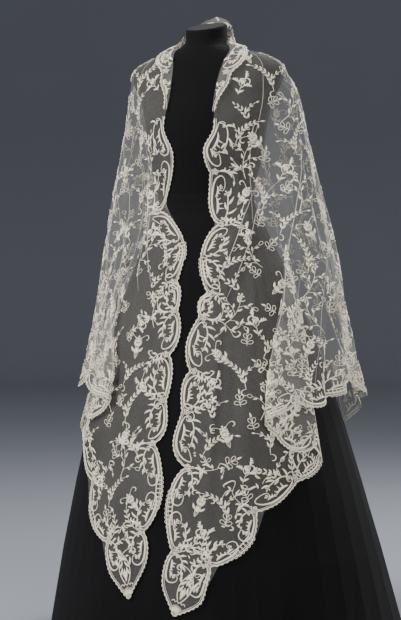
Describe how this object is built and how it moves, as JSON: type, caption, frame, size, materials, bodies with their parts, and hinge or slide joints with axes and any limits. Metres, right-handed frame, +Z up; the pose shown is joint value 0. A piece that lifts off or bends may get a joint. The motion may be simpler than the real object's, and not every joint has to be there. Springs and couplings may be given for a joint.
{
  "type": "lace shawl on a dress form",
  "caption": "Large triangular lace shawl with a scalloped border, draped over the shoulders of a plain limbless dress form, with its long points hanging in front.",
  "frame": {"origin": "on the floor, on the flat underside of the form, straight below the middle of its neck", "axes": "+Z up, the front of the form faces -Y, the form's own left is +X"},
  "size_m": [0.8994, 0.88, 1.544],
  "materials": {
    "lace": "ivory cotton lace on net",
    "form": "black velvet cover",
    "cap": "plain black cloth over a flat plate"
  },
  "bodies": {
    "root": {"front_left": "lace", "front_right": "lace", "side_left": "lace", "side_right": "lace", "back": "lace", "collar": "lace", "form_torso": "form", "form_skirt": "form", "neck_cap": "cap"}
  },
  "joints": []
}
